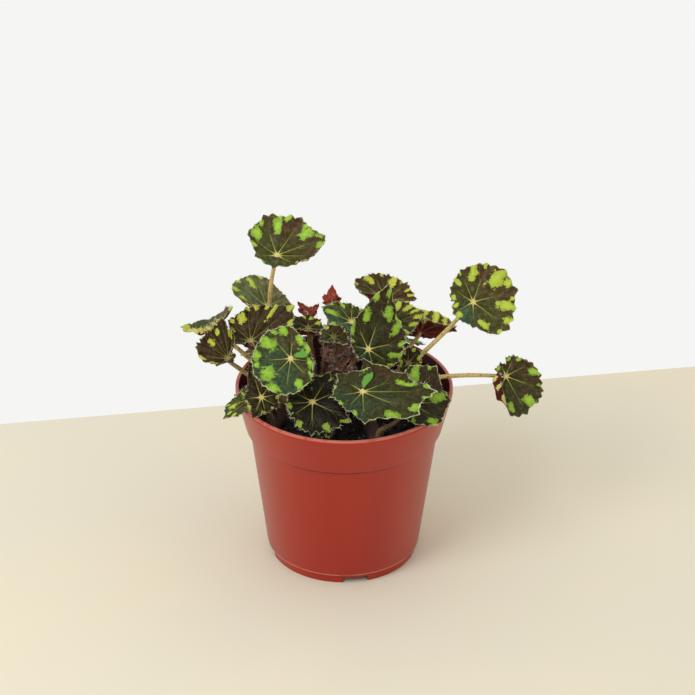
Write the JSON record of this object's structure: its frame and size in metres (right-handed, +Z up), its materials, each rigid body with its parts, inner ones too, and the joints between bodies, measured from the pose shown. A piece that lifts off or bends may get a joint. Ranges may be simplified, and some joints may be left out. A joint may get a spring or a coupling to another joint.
{
  "type": "potted begonia",
  "caption": "Rhizomatous begonia with cupped, toothed leaves of dark brown-green with lime blotches, on slender tan stalks, in a tapered terracotta-coloured plastic nursery pot.",
  "frame": {"origin": "centre of the pot's base, on the plane that it stands on", "axes": "+Z up along the pot's axis, front (the pictured side) faces -Y, +X to the front's right"},
  "size_m": [0.1999, 0.1237, 0.1989],
  "materials": {
    "terracotta_plastic": "satin",
    "potting_compost": "rough",
    "rhizome_skin": "rough",
    "leaf_blade": "satin",
    "leaf_stalk": "satin",
    "young_leaf": "satin"
  },
  "bodies": {
    "root": {"pot": "terracotta_plastic", "soil": "potting_compost", "rhizome": "rhizome_skin", "leaf_01": "leaf_blade", "leaf_02": "leaf_blade", "leaf_03": "leaf_blade", "leaf_04": "leaf_blade", "leaf_05": "leaf_blade", "leaf_06": "leaf_blade", "leaf_07": "leaf_blade", "leaf_08": "leaf_blade", "leaf_09": "leaf_blade", "leaf_10": "leaf_blade", "leaf_11": "leaf_blade", "leaf_12": "leaf_blade", "leaf_13": "leaf_blade", "leaf_14": "leaf_blade", "leaf_15": "leaf_blade", "leaf_16": "leaf_blade", "leaf_17": "leaf_blade", "leaf_18": "leaf_blade", "leaf_19": "leaf_blade", "leaf_20": "leaf_blade", "leaf_21": "leaf_blade", "leaf_22": "leaf_blade", "leaf_23": "leaf_blade", "leaf_24": "leaf_blade", "leaf_25": "leaf_blade", "leaf_26": "leaf_blade", "stalk_01": "leaf_stalk", "stalk_02": "leaf_stalk", "stalk_03": "leaf_stalk", "stalk_04": "leaf_stalk", "stalk_05": "leaf_stalk", "stalk_06": "leaf_stalk", "stalk_07": "leaf_stalk", "stalk_08": "leaf_stalk", "stalk_09": "leaf_stalk", "stalk_10": "leaf_stalk", "stalk_11": "leaf_stalk", "stalk_12": "leaf_stalk", "stalk_13": "leaf_stalk", "stalk_14": "leaf_stalk", "stalk_15": "leaf_stalk", "stalk_16": "leaf_stalk", "stalk_17": "leaf_stalk", "stalk_18": "leaf_stalk", "stalk_19": "leaf_stalk", "stalk_20": "leaf_stalk", "stalk_21": "leaf_stalk", "stalk_22": "leaf_stalk", "stalk_23": "leaf_stalk", "stalk_24": "leaf_stalk", "stalk_25": "leaf_stalk", "stalk_26": "leaf_stalk", "bud_01": "young_leaf", "bud_02": "young_leaf", "bud_03": "young_leaf"}
  },
  "joints": []
}
